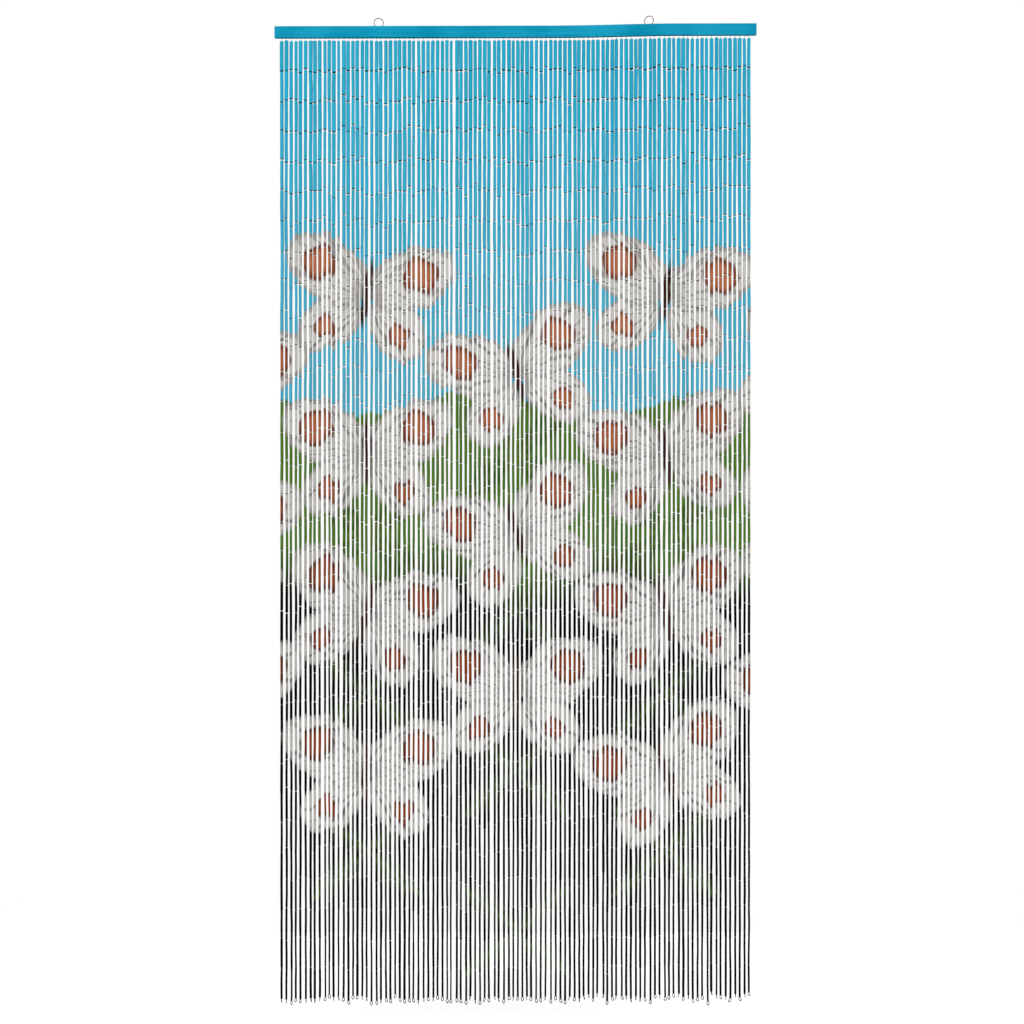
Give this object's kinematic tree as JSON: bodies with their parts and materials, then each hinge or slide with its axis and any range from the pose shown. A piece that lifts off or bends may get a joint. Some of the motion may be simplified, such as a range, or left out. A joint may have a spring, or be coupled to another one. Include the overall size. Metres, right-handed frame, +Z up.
{
  "type": "bamboo door curtain",
  "caption": "Painted bamboo tube strands hanging from a wooden header slat with two wire hanging eyes, for a doorway.",
  "frame": {"origin": "middle of the header slat's flat back face", "axes": "+Z up, +X along the header to the right of a viewer in front, +Y out of the header's back towards the wall or door frame"},
  "size_m": [1, 0.01, 2.0552],
  "materials": {
    "header_paint": "satin blue paint on softwood, faint grain along the slat",
    "eye_wire": "bright drawn steel wire",
    "bamboo": "painted bamboo tubes, blue at the top, green in the middle, black at the foot, satin"
  },
  "bodies": {
    "root": {"header": "header_paint", "eye_left": "eye_wire", "eye_right": "eye_wire", "strands": "bamboo"}
  },
  "joints": []
}
